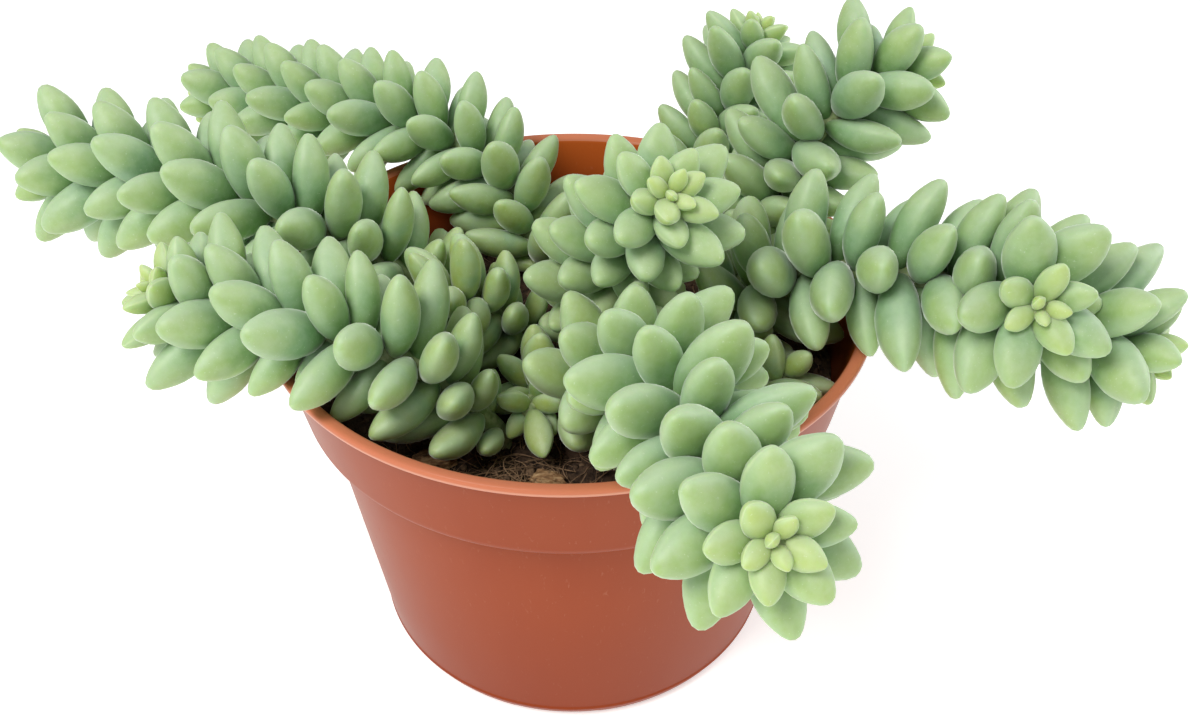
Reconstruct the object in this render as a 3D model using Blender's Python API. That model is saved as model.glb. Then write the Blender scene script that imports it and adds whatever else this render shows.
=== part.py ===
"""A burro's tail (Sedum) in a plastic nursery pot: turned pot, soil, bark chips and leafy stems.

Metres, +Z up. The origin is on the pot's axis, on the ground that the pot stands on, and -Y is the front.
Each leafy stem is one body: a slim core with plump leaves set round it in a golden-angle spiral, from a
bud of tiny leaves at the tip down to the soil. The leaves of all stems are eased apart together, so that
neighbours touch without crossing and none runs through the pot or the soil."""

import math

import bmesh
import bpy
import numpy as np
from mathutils import Matrix, Vector

MM = 0.001
FIT = 0.3 * MM  # gap between pieces that touch

# Pot: a 10.5 cm nursery pot
POT_HEIGHT = 73.0 * MM
RIM_RADIUS = 52.5 * MM
LIP_WIDTH = 2.3 * MM
LIP_DEPTH = 1.8 * MM
COLLAR_TOP = 50.9 * MM
COLLAR_FOOT = 48.2 * MM
STEP_HEIGHT = 55.0 * MM
WALL_TOP = 45.0 * MM
WALL_FOOT = 38.7 * MM
BAND_HEIGHT = 2.4 * MM
FOOT_RADIUS = 37.6 * MM
PLASTIC = 1.3 * MM
FLOOR = 1.6 * MM
POT_SIDES = 36

# Underside: a centre pad and a foot ring on the ground, a raised channel between them
PAD_RADIUS = 23.0 * MM
CHANNEL_RISE = 1.0 * MM
CHANNEL_OUTER = 32.0 * MM
NOTCHES = 4
NOTCH_WIDTH = 16.0 * MM
NOTCH_TURN = math.radians(-96)
DRAIN_RADIUS = 2.6 * MM
DRAIN_RING = 28.0 * MM

# Soil
SOIL_HEIGHT = 56.6 * MM
SOIL_BUMPS = 0.7 * MM
SOIL_SIDES = 24
SOIL_RINGS = 3
HOLE_DEPTH = 9.0 * MM
HOLE_SIDES = 6
HOLE_TURN = math.radians(11)

# Stems and leaves
CORE_RADIUS = 2.1 * MM
CORE_SIDES = 5
CORE_STEP = 8.0 * MM
GOLDEN_ANGLE = math.radians(137.508)
LEAF_STEP = 1.68 * MM  # along the stem, from one grown leaf to the next
BUD_STEP = 0.4 * MM
YOUNG_LEAVES = 12  # leaves from the bud to the first grown one
OLD_TIP = 7  # young leaves that a short inner stem has lost
BUD_SIZE = 0.2
GROWN_LEAN = math.radians(62)  # from the stem's own direction
BUD_LEAN = math.radians(8)
HALF_WIDTH = 0.27  # of the leaf's length
FLATNESS = 0.82  # thickness over width
LEAF_SIDES = 4
UPTURN = 0.16
LOW_STRETCH = 25 * MM  # the old leaves at a stem's foot stand further apart
LOW_SPARSE = 0.4
ROOT_SINK = 1.0 * MM  # how far a leaf's root lies behind its place on the stem's middle line
BARE = 1.0 * MM  # the leafless stretch at the root

# Easing the leaves apart
TOUCH_AT = np.array([0.16, 0.38, 0.62, 0.84])
TOUCH_WIDTH = np.array([0.58, 0.84, 1.0, 0.8])
PRESS = 0.9  # neighbours on one stem press together this much
CLEAR = 0.45 * MM
EASE_TURNS = 90
SHRINK_FROM = 45

# Each stem: its route in mm from its root in the soil to its tip, then that of a side branch, the grown
# leaf's length in mm, which way its spiral winds, and where the spiral starts
STEMS = {
    "stem_left": {
        "routes": [[(-22, 9, 58), (-29, 7, 68), (-38, 8, 75), (-47, 9, 79), (-57, 13, 81),
                    (-70, 19, 81.5), (-86, 27, 80), (-102, 35, 77)]],
        "leaf": 13.6, "wind": 1, "start": 0.4,
    },
    "stem_back_left": {
        "routes": [[(-4, 20, 58), (-8, 26, 67), (-13, 32, 74), (-22, 37, 79), (-33, 43, 80.5),
                    (-48, 53, 78), (-64, 65, 74), (-78, 75, 71)]],
        "leaf": 13.0, "wind": -1, "start": 1.3,
    },
    "stem_front_left": {
        "routes": [[(-12, -24, 58), (-17, -25, 66), (-24, -26, 74.5), (-35, -24.5, 79), (-47, -20, 79),
                    (-57.5, -16.5, 79), (-66, -15, 80)]],
        "leaf": 13.6, "wind": 1, "start": 2.2,
    },
    "stem_centre": {
        "routes": [[(3, 4, 58), (4, 0, 66), (6, -5, 76), (9, -11, 86), (12, -18, 96), (15, -24, 104)]],
        "leaf": 14.4, "wind": -1, "start": 0.9,
    },
    "stem_front": {
        "routes": [[(0, -22, 58), (3, -24, 66), (8, -30, 76), (13, -41, 83), (16, -54, 86),
                    (19, -64, 87), (21, -72.5, 88), (22.5, -82, 92.5)]],
        "leaf": 14.4, "wind": 1, "start": 0.2,
    },
    "stem_right": {
        "routes": [[(25, -3, 58), (29, -3, 66), (34, -6, 75), (43, -11, 81), (55, -17, 83.5),
                    (67, -22, 83), (81, -25, 78.5), (92.5, -28, 74.5)],
                   [(64, -21, 83), (67, -27, 87), (67, -36, 91)]],
        "leaf": 15.0, "wind": -1, "start": 1.9,
    },
    "stem_back_right": {
        "routes": [[(31, 17, 58), (35, 18, 68), (40, 20, 81), (45, 18, 92), (53, 21, 99),
                    (64, 24.5, 104.5)]],
        "leaf": 13.8, "wind": 1, "start": 2.9,
    },
    "stem_back": {
        "routes": [[(21, 31, 58), (24, 33, 68), (29, 39, 78), (34, 43.5, 88.5), (38, 48, 98)]],
        "leaf": 12.4, "wind": -1, "start": 0.1,
    },
    "stem_inner_left": {
        "routes": [[(-7, 3, 58), (-10, 0, 63), (-17, -2, 69), (-24, -6, 72)]],
        "leaf": 12.0, "wind": 1, "start": 0.7,
    },
    "stem_inner_front": {
        "routes": [[(-5, -12, 58), (-6, -18, 62), (-7, -25, 64)]],
        "leaf": 11.5, "wind": -1, "start": 1.1,
    },
    "stem_inner_middle": {
        "routes": [[(16, -12, 58), (18, -15, 64), (20, -16, 69)]],
        "leaf": 11.5, "wind": 1, "start": 2.0,
    },
    "stem_inner_right": {
        "routes": [[(30, -20, 58), (32, -20, 63), (36, -19, 67)]],
        "leaf": 11.5, "wind": -1, "start": 0.3,
    },
}

# Each bark chip: its centre, its half sizes and its turn about +Z
CHIPS = {
    "chip_front_left": ((-22.5, -29.0, 57.4), (3.8, 2.2, 1.8), 0.3),
    "chip_front": ((-4.0, -34.5, 57.2), (3.0, 2.1, 1.6), -0.5),
    "chip_back_left": ((-22.0, 33.0, 57.2), (2.8, 2.0, 1.5), 0.9),
    "chip_right": ((20.0, -33.0, 57.1), (2.6, 1.9, 1.4), 2.2),
}


def material(name, colour, roughness):
    made = bpy.data.materials.new(name)
    made.use_nodes = True
    shader = made.node_tree.nodes["Principled BSDF"]
    shader.inputs["Base Color"].default_value = (*colour, 1.0)
    shader.inputs["Roughness"].default_value = roughness
    shader.inputs["Metallic"].default_value = 0.0
    made.diffuse_color = (*colour, 1.0)
    return made


def new_object(name, mesh, finish=None, smooth=True):
    made = bpy.data.objects.new(name, mesh)
    bpy.context.scene.collection.objects.link(made)
    if finish:
        mesh.materials.append(finish)
    if smooth:
        mesh.shade_smooth()
        mesh.set_sharp_from_angle(angle=math.radians(50))
    return made


def mesh_from(bm, name):
    bmesh.ops.recalc_face_normals(bm, faces=bm.faces)
    mesh = bpy.data.meshes.new(name)
    bm.to_mesh(mesh)
    bm.free()
    return mesh


def turned(name, profile, sides):
    """The closed body that a profile of (radius, height) points sweeps round +Z. Its ends lie on the axis."""
    bm = bmesh.new()
    points = [bm.verts.new((radius, 0, height)) for radius, height in profile]
    edges = [bm.edges.new(pair) for pair in zip(points, points[1:])]
    bmesh.ops.spin(
        bm, geom=points + edges, cent=(0, 0, 0), axis=(0, 0, 1),
        angle=math.tau, steps=sides, use_merge=True,
    )
    bmesh.ops.remove_doubles(bm, verts=bm.verts, dist=1e-6)
    return mesh_from(bm, name)


def boolean(target, operation, helpers, solver="EXACT"):
    """Applies one Boolean with a collection of helpers, and removes them."""
    group = bpy.data.collections.new("helpers")
    bpy.context.scene.collection.children.link(group)
    for helper in helpers:
        bpy.context.scene.collection.objects.unlink(helper)
        group.objects.link(helper)
    modifier = target.modifiers.new("join", "BOOLEAN")
    modifier.operation = operation
    modifier.operand_type = "COLLECTION"
    modifier.collection = group
    modifier.solver = solver
    bpy.context.view_layer.update()
    graph = bpy.context.evaluated_depsgraph_get()
    joined = bpy.data.meshes.new_from_object(target.evaluated_get(graph))
    target.modifiers.clear()
    target.data = joined
    for helper in helpers:
        bpy.data.objects.remove(helper)
    bpy.data.collections.remove(group)


# ---------------------------------------------------------------- pot


def build_pot():
    """Tapered wall, step, collar and lip, and an underside of pad, channel and notched foot ring."""
    lip_inner = RIM_RADIUS - LIP_WIDTH
    edge = 0.5 * MM
    profile = [
        (0, 0),
        (PAD_RADIUS, 0),
        (PAD_RADIUS + CHANNEL_RISE, CHANNEL_RISE),
        (CHANNEL_OUTER, CHANNEL_RISE),
        (CHANNEL_OUTER + CHANNEL_RISE, 0),
        (FOOT_RADIUS, 0),
        (WALL_FOOT, BAND_HEIGHT),
        (WALL_TOP, STEP_HEIGHT - 0.4 * MM),
        (COLLAR_FOOT - edge, STEP_HEIGHT - 0.4 * MM),
        (COLLAR_FOOT, STEP_HEIGHT + 0.1 * MM),
        (COLLAR_TOP, POT_HEIGHT - LIP_DEPTH),
        (RIM_RADIUS, POT_HEIGHT - LIP_DEPTH + 0.2 * MM),
        (RIM_RADIUS, POT_HEIGHT - edge),
        (RIM_RADIUS - edge, POT_HEIGHT),
        (lip_inner + edge, POT_HEIGHT),
        (lip_inner, POT_HEIGHT - edge),
        (COLLAR_FOOT - PLASTIC, STEP_HEIGHT + 1.2 * MM),
        (WALL_TOP - PLASTIC, STEP_HEIGHT + 0.6 * MM),
        (WALL_FOOT - PLASTIC, FLOOR + CHANNEL_RISE),
        (0, FLOOR + CHANNEL_RISE),
    ]
    terracotta = material("terracotta_plastic", (0.42, 0.10, 0.035), 0.34)
    pot = new_object("pot", turned("pot", profile, POT_SIDES), terracotta)
    cutters = []
    for n in range(NOTCHES):
        turn = NOTCH_TURN + n * math.tau / NOTCHES
        cutters.append(notch_cutter(turn))
        cutters.append(drain_cutter(turn))
    boolean(pot, "DIFFERENCE", cutters)
    pot.data.shade_smooth()
    pot.data.set_sharp_from_angle(angle=math.radians(35))


def notch_cutter(turn):
    """A flat block across the foot ring, as deep as the channel is high."""
    bm = bmesh.new()
    bmesh.ops.create_cube(bm, size=1)
    reach = 10 * MM
    size = (reach, NOTCH_WIDTH, 2 * CHANNEL_RISE)
    bmesh.ops.scale(bm, vec=size, verts=bm.verts)
    bmesh.ops.translate(bm, vec=(CHANNEL_OUTER + reach / 2, 0, 0), verts=bm.verts)
    bmesh.ops.rotate(bm, cent=(0, 0, 0), matrix=Matrix.Rotation(turn, 3, "Z"), verts=bm.verts)
    return new_object("notch", mesh_from(bm, "notch"), smooth=False)


def drain_cutter(turn):
    bm = bmesh.new()
    bmesh.ops.create_cone(
        bm, cap_ends=True, segments=8, radius1=DRAIN_RADIUS, radius2=DRAIN_RADIUS, depth=12 * MM
    )
    place = Vector((DRAIN_RING * math.cos(turn), DRAIN_RING * math.sin(turn), 0))
    bmesh.ops.translate(bm, vec=place, verts=bm.verts)
    return new_object("drain", mesh_from(bm, "drain"), smooth=False)


# ---------------------------------------------------------------- soil and chips


def soil_level(x, y):
    """Height of the soil's bumpy top."""
    wave = math.sin(310 * x + 1.1) * math.cos(270 * y) + 0.7 * math.sin(520 * x - 430 * y + 0.6)
    return SOIL_HEIGHT + SOIL_BUMPS * 0.6 * wave


def build_soil(stems):
    """Fills the pot to just above its step. Its top has a hole for each stem and a seat for each chip."""
    rim = COLLAR_FOOT - PLASTIC - FIT
    wall = WALL_TOP - PLASTIC - FIT
    foot = WALL_FOOT - PLASTIC - 2 * FIT
    bottom = FLOOR + CHANNEL_RISE + FIT
    ledge = STEP_HEIGHT + 0.6 * MM + FIT
    profile = [(0, bottom), (foot, bottom), (wall, ledge + 0.1 * MM), (rim - 1.2 * MM, ledge + 0.5 * MM)]
    profile += [(rim * ring / SOIL_RINGS, SOIL_HEIGHT) for ring in range(SOIL_RINGS, -1, -1)]
    mesh = turned("soil", profile, SOIL_SIDES)
    for vertex in mesh.vertices:
        on_top = vertex.co.z > SOIL_HEIGHT - 0.01 * MM
        if on_top and math.hypot(vertex.co.x, vertex.co.y) < rim - MM:
            vertex.co.z = soil_level(vertex.co.x, vertex.co.y)
    peat = material("peat", (0.030, 0.020, 0.014), 0.95)
    soil = new_object("soil", mesh, peat, smooth=False)
    cutters = []
    for stem in stems.values():
        root = Vector(stem["routes"][0][0]) * MM
        bm = bmesh.new()
        bore = (CORE_RADIUS + FIT) / math.cos(math.pi / HOLE_SIDES)
        bmesh.ops.create_cone(
            bm, cap_ends=True, segments=HOLE_SIDES, radius1=bore, radius2=bore, depth=2 * HOLE_DEPTH
        )
        turn = Matrix.Rotation(HOLE_TURN, 3, "Z")
        bmesh.ops.rotate(bm, cent=(0, 0, 0), matrix=turn, verts=bm.verts)
        bmesh.ops.translate(bm, vec=(root.x, root.y, SOIL_HEIGHT), verts=bm.verts)
        cutters.append(new_object("hole", mesh_from(bm, "hole"), smooth=False))
    for centre, size, turn in CHIPS.values():
        grown = [side + FIT / MM for side in size]
        cutters.append(new_object("seat", chip_mesh("seat", centre, grown, turn), smooth=False))
    boolean(soil, "DIFFERENCE", cutters)


def chip_mesh(name, centre, size, turn):
    """A rough flake: a coarse ball squared off and dented by a formula, so a larger one wraps a smaller."""
    bm = bmesh.new()
    bmesh.ops.create_icosphere(bm, subdivisions=2, radius=1)
    for vertex in bm.verts:
        ball = vertex.co.copy()
        dent = 1 + 0.16 * math.sin(4 * ball.x + 3 * ball.z) * math.cos(5 * ball.y + turn * 3)
        for axis in range(3):
            squared = math.copysign(abs(ball[axis]) ** 0.7, ball[axis])
            vertex.co[axis] = squared * dent * size[axis] * MM
    bmesh.ops.rotate(bm, cent=(0, 0, 0), matrix=Matrix.Rotation(turn, 3, "Z"), verts=bm.verts)
    bmesh.ops.translate(bm, vec=Vector(centre) * MM, verts=bm.verts)
    return mesh_from(bm, name)


def build_chips():
    bark = material("bark", (0.36, 0.20, 0.09), 0.85)
    for name, (centre, size, turn) in CHIPS.items():
        new_object(name, chip_mesh(name, centre, size, turn), bark, smooth=False)


# ---------------------------------------------------------------- where the leaves grow


def smooth_route(points, step):
    """Points about a step apart on a smooth curve through the route's own points, in metres."""
    route = np.array(points, float) * MM
    ends = [2 * route[0] - route[1]], [2 * route[-1] - route[-2]]
    a, b, c, d = (np.vstack([ends[0], route, ends[1]])[k:][: len(route) - 1] for k in range(4))
    t = np.linspace(0, 1, 30, endpoint=False)[:, None, None]
    curve = 2 * b + (c - a) * t + (2 * a - 5 * b + 4 * c - d) * t**2 + (3 * b - a - 3 * c + d) * t**3
    curve = np.vstack([(curve / 2).transpose(1, 0, 2).reshape(-1, 3), route[-1:]])
    along = np.r_[0, np.cumsum(np.linalg.norm(np.diff(curve, axis=0), axis=1))]
    marks = np.linspace(0, along[-1], max(2, round(along[-1] / step)) + 1)
    return np.column_stack([np.interp(marks, along, curve[:, axis]) for axis in range(3)])


def unit(vectors):
    return vectors / np.linalg.norm(vectors, axis=-1, keepdims=True)


def carried_frames(line):
    """A direction along the line at each point, and one across it that never twists about it."""
    ahead = unit(np.gradient(line, axis=0))
    side = np.zeros_like(ahead)
    side[0] = unit(np.cross(ahead[0], (0.3, 1, 0.2)))
    for n in range(1, len(line)):
        side[n] = unit(side[n - 1] - ahead[n] * (side[n - 1] @ ahead[n]))
    return ahead, side


def grow_leaves(stems):
    """One row for each leaf of every stem: its root, the way it points, its length and its stem's number."""
    rows = []
    dice = np.random.default_rng(7)
    for number, (name, stem) in enumerate(stems.items()):
        for branch, points in enumerate(stem["routes"]):
            line = smooth_route(points, 0.5 * MM)
            ahead, side = carried_frames(line)
            gaps = np.linalg.norm(np.diff(line, axis=0), axis=1)
            along = np.r_[0, np.cumsum(gaps)]
            below_tip, count = 0.0, OLD_TIP if "inner" in name else 0
            bare = CORE_RADIUS if branch else BARE
            while along[-1] - below_tip > bare:
                grown = min(1.0, count / YOUNG_LEAVES)
                at = int(np.searchsorted(along, along[-1] - below_tip).clip(0, len(line) - 1))
                angle = stem["start"] + stem["wind"] * count * GOLDEN_ANGLE + dice.normal(0, 0.06)
                out = side[at] * math.cos(angle) + np.cross(ahead[at], side[at]) * math.sin(angle)
                lean = BUD_LEAN + (GROWN_LEAN - BUD_LEAN) * grown**0.62 + dice.normal(0, 0.05)
                way = ahead[at] * math.cos(lean) + out * math.sin(lean)
                way = unit(way + np.array((0, 0, UPTURN * grown)))
                size = BUD_SIZE + (1 - BUD_SIZE) * grown**0.7
                size *= stem["leaf"] * MM * (1 + dice.normal(0, 0.035))
                root = line[at] - ahead[at] * ROOT_SINK
                rows.append((*root, *way, size + ROOT_SINK, number))
                sparse = 1 + LOW_SPARSE * max(0.0, 1 - (along[at] - bare) / LOW_STRETCH)
                below_tip += BUD_STEP + (LEAF_STEP * sparse - BUD_STEP) * grown**1.3
                count += 1
    return np.array(rows)


def off_the_pot(centre, radius):
    """How far each ball has to move to clear the pot's wall, its lip and the soil."""
    reach = np.hypot(centre[:, 0], centre[:, 1]) + 1e-9
    lip_middle = RIM_RADIUS - LIP_WIDTH / 2
    top = POT_HEIGHT - LIP_WIDTH / 2
    height = np.minimum(centre[:, 2], top)
    sideways = reach - (lip_middle - 0.155 * (top - height))
    upwards = centre[:, 2] - height
    apart = np.hypot(sideways, upwards) + 1e-9
    short = np.maximum(radius + LIP_WIDTH / 2 + CLEAR - apart, 0) / apart
    outward = (short * sideways / reach)[:, None] * centre[:, :2]
    push = np.column_stack([outward, short * upwards])
    floor = SOIL_HEIGHT + SOIL_BUMPS + CLEAR
    inside = reach < lip_middle
    push[:, 2] += np.where(inside, np.maximum(floor + radius - centre[:, 2], 0), 0)
    return push


def ease_apart(rows, stems):
    """Turns each leaf about its root until it clears its neighbours, and shrinks one that still can't."""
    root, way, size, stem = rows[:, :3], rows[:, 3:6].copy(), rows[:, 6].copy(), rows[:, 7].astype(int)
    rest = way.copy()
    cores = []
    for number, one in enumerate(stems.values()):
        for points in one["routes"]:
            line = smooth_route(points, CORE_RADIUS)
            cores.append(np.column_stack([line, np.full(len(line), number)]))
    cores = np.vstack(cores)
    owner = np.repeat(np.arange(len(rows)), len(TOUCH_AT))
    lever_at = np.tile(TOUCH_AT, len(rows))
    for turn in range(EASE_TURNS):
        centre = (root[:, None] + way[:, None] * (size[:, None] * TOUCH_AT)[..., None]).reshape(-1, 3)
        radius = (HALF_WIDTH * size[:, None] * TOUCH_WIDTH).ravel()
        if turn % 10 == 0:
            first, second = near_pairs(centre, radius, owner)
            ball, core = near_cores(centre, radius, owner, stem, cores)
        move = np.zeros((len(centre), 3))
        strange = np.zeros(len(rows), bool)
        apart = centre[first] - centre[second]
        distance = np.linalg.norm(apart, axis=1) + 1e-9
        same = stem[owner[first]] == stem[owner[second]]
        touch = radius[first] + radius[second]
        short = np.maximum(np.where(same, PRESS * touch, touch + CLEAR) - distance, 0)
        push = apart * (short / distance / 2)[:, None]
        np.add.at(move, first, push)
        np.add.at(move, second, -push)
        crossing = ~same & (short > 0.1 * MM)
        strange[owner[first][crossing]] = True
        strange[owner[second][crossing]] = True
        apart = centre[ball] - cores[core, :3]
        distance = np.linalg.norm(apart, axis=1) + 1e-9
        short = np.maximum(radius[ball] + CORE_RADIUS + CLEAR - distance, 0)
        np.add.at(move, ball, apart * (short / distance)[:, None])
        strange[owner[ball][short > 0.1 * MM]] = True
        wall = off_the_pot(centre, radius)
        move += wall
        strange[owner[np.linalg.norm(wall, axis=1) > 0.1 * MM]] = True
        lever = (size[owner] * lever_at)[:, None]
        turned_by = np.zeros_like(way)
        np.add.at(turned_by, owner, move / lever * lever_at[:, None])
        way = unit(way + 0.5 * turned_by + 0.02 * (rest - way))
        if turn >= SHRINK_FROM:
            size[strange] *= 0.985
    kept = ~strange & (size > 0.35 * rows[:, 6])
    return root[kept], way[kept], size[kept], stem[kept]


def near_pairs(centre, radius, owner):
    """Pairs of balls of different leaves that could come to touch."""
    first, second = [], []
    for n in range(len(centre) - 1):
        away = np.linalg.norm(centre[n + 1:] - centre[n], axis=1)
        near = (away < radius[n + 1:] + radius[n] + 3 * MM) & (owner[n + 1:] != owner[n])
        found = np.flatnonzero(near) + n + 1
        first.append(np.full(len(found), n))
        second.append(found)
    return np.concatenate(first), np.concatenate(second)


def near_cores(centre, radius, owner, stem, cores):
    """Balls that could touch the core of another stem, each with that point of the core."""
    ball, core = [], []
    for n, place in enumerate(cores):
        away = np.linalg.norm(centre - place[:3], axis=1)
        near = (away < radius + CORE_RADIUS + 3 * MM) & (stem[owner] != place[3])
        found = np.flatnonzero(near)
        ball.append(found)
        core.append(np.full(len(found), n))
    return np.concatenate(ball), np.concatenate(core)


# ---------------------------------------------------------------- stems


def leaf_mesh(root, way, size, middle):
    """A plump leaf of few sides: narrow at its root, widest past its middle, with a blunt point."""
    across = unit(np.cross(way, middle))
    through = np.cross(across, way)
    half = HALF_WIDTH * size
    rings = ((0.42, 0.84), (0.78, 1.0))
    bm = bmesh.new()
    foot = bm.verts.new(root)
    loops = []
    for at, wide in rings:
        loop = []
        for side in range(LEAF_SIDES):
            angle = math.tau * side / LEAF_SIDES
            spread = across * math.cos(angle) + through * math.sin(angle) * FLATNESS
            loop.append(bm.verts.new(root + way * size * at + spread * half * wide))
        loops.append(loop)
    tip = bm.verts.new(root + way * size)
    for near, far in zip(loops[0], loops[0][1:] + loops[0][:1]):
        bm.faces.new((foot, far, near))
    for near, far in zip(loops[1], loops[1][1:] + loops[1][:1]):
        bm.faces.new((tip, near, far))
    for side in range(LEAF_SIDES):
        after = (side + 1) % LEAF_SIDES
        bm.faces.new((loops[0][side], loops[0][after], loops[1][after], loops[1][side]))
    bmesh.ops.triangulate(bm, faces=bm.faces)
    return mesh_from(bm, "leaf")


def core_mesh(points, foot=None):
    """The stem itself: a slim tube along its route. It goes straight down from the route to its foot."""
    line = smooth_route(points, CORE_STEP)
    if foot:
        line = np.vstack([(*line[0][:2], foot), line])
    ahead, side = carried_frames(line)
    bm = bmesh.new()
    loops = []
    for n, place in enumerate(line):
        thin = 0.55 if n == len(line) - 1 else 1.0
        up = np.cross(ahead[n], side[n])
        loop = []
        for k in range(CORE_SIDES):
            angle = math.tau * k / CORE_SIDES
            spread = side[n] * math.cos(angle) + up * math.sin(angle)
            loop.append(bm.verts.new(place + spread * CORE_RADIUS * thin))
        loops.append(loop)
    bm.faces.new(loops[0])
    bm.faces.new(loops[-1])
    for near, far in zip(loops, loops[1:]):
        for k in range(CORE_SIDES):
            after = (k + 1) % CORE_SIDES
            bm.faces.new((near[k], near[after], far[after], far[k]))
    bmesh.ops.triangulate(bm, faces=bm.faces)
    return mesh_from(bm, "core")


def build_stems():
    leaf_green = material("leaf_green", (0.33, 0.50, 0.26), 0.55)
    root, way, size, stem = ease_apart(grow_leaves(STEMS), STEMS)
    for number, (name, one) in enumerate(STEMS.items()):
        core = new_object(name, core_mesh(one["routes"][0], SOIL_HEIGHT - HOLE_DEPTH + FIT), leaf_green)
        middle = smooth_route(one["routes"][0], CORE_STEP)
        helpers = [
            new_object("branch", core_mesh(points), smooth=False) for points in one["routes"][1:]
        ]
        for n in np.flatnonzero(stem == number):
            nearest = np.argmin(np.linalg.norm(middle - root[n], axis=1))
            ahead = unit(np.gradient(middle, axis=0))[nearest]
            helpers.append(
                new_object("leaf", leaf_mesh(root[n], way[n], size[n], ahead), smooth=False)
            )
        boolean(core, "UNION", helpers, "MANIFOLD")
        core.data.shade_smooth()
        core.data.set_sharp_from_angle(angle=math.radians(50))


for old in list(bpy.data.objects):
    bpy.data.objects.remove(old)
build_pot()
build_soil(STEMS)
build_chips()
build_stems()
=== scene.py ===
"""A burro's tail (Sedum) in a terracotta-coloured nursery pot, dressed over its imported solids.

Metres, +Z up, the ground at z = 0 and the pot's axis through the origin. The sections follow the plant as it
is potted: the pot, the soil in it, the bark on the soil, and then the leafy stems."""

import math

import bmesh
import bpy
import numpy as np
from mathutils import Matrix, Vector, noise


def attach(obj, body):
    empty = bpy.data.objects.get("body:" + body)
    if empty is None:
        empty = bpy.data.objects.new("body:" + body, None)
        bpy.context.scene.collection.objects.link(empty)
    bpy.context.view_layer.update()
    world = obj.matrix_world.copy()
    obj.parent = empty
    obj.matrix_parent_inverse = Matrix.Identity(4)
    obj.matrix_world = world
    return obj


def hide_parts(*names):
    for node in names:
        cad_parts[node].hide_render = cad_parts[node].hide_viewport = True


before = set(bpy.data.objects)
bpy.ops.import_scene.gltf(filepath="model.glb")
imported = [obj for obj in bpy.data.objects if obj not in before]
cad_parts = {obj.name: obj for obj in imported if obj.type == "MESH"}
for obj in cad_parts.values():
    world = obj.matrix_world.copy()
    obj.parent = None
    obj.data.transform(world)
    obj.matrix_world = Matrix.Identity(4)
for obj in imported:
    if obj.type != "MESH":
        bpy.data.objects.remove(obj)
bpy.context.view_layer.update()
MM = 0.001

# ---------------------------------------------------------------- camera, floor and light
# The camera looks down on the pot from a hand's height, close by. The floor is a sweep of plain white card,
# and the light is that of a bright room with one large window lamp and a weaker one across from it.

PITCH, YAW, ROLL = math.radians(38.61), math.radians(1.73), math.radians(0.10)
CAMERA_PLACE = (0, -0.17257, 0.19270)
FOCAL_LENGTH, SENSOR_WIDTH = 36.176, 36
ROOM_COLOUR, ROOM_STRENGTH = (0.97, 0.985, 1.0, 1), 0.45
CARD_RADIUS = 2.5

ahead = Vector((math.sin(YAW) * math.cos(PITCH), math.cos(YAW) * math.cos(PITCH), -math.sin(PITCH)))
level = Vector((math.cos(YAW), -math.sin(YAW), 0))
upright = level.cross(ahead)
right = level * math.cos(ROLL) + upright * math.sin(ROLL)
turned_up = upright * math.cos(ROLL) - level * math.sin(ROLL)
lens = bpy.data.cameras.new("camera")
lens.sensor_width = SENSOR_WIDTH
lens.lens = FOCAL_LENGTH
lens.clip_start = 10 * MM
camera = bpy.data.objects.new("camera", lens)
bpy.context.scene.collection.objects.link(camera)
turned = Matrix((right, turned_up, -ahead)).transposed().to_4x4()
camera.matrix_world = Matrix.Translation(CAMERA_PLACE) @ turned
bpy.context.scene.camera = camera

bpy.context.scene.view_settings.view_transform = "Standard"
room = bpy.data.worlds.new("room")
bpy.context.scene.world = room
room.use_nodes = True
sky = room.node_tree.nodes["Background"]
sky.inputs["Color"].default_value = ROOM_COLOUR
sky.inputs["Strength"].default_value = ROOM_STRENGTH


def lamp(name, place, aim, size, power, colour):
    """A round area lamp at a place, turned to an aim."""
    light = bpy.data.lights.new(name, "AREA")
    light.shape = "DISK"
    light.size, light.energy, light.color = size, power, colour
    made = bpy.data.objects.new(name, light)
    bpy.context.scene.collection.objects.link(made)
    made.location = place
    made.rotation_euler = (Vector(aim) - Vector(place)).to_track_quat("-Z", "Y").to_euler()


lamp("window", (-0.28, -0.30, 0.62), (0, 0, 0.07), 0.30, 3.3, (1.0, 0.985, 0.95))
lamp("across", (0.62, 0.20, 0.34), (0, 0, 0.05), 0.45, 2.0, (0.95, 0.98, 1.0))


class Level:
    """A socket that carries a number or a colour, so that a finish can be written as plain sums."""

    def __init__(self, finish, socket):
        self.finish, self.socket = finish, socket

    def __add__(self, other):
        return self.finish.sum("ADD", self, other)

    def __sub__(self, other):
        return self.finish.sum("SUBTRACT", self, other)

    def __rsub__(self, other):
        return self.finish.sum("SUBTRACT", other, self)

    def __mul__(self, other):
        return self.finish.sum("MULTIPLY", self, other)

    __radd__ = __add__
    __rmul__ = __mul__


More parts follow.
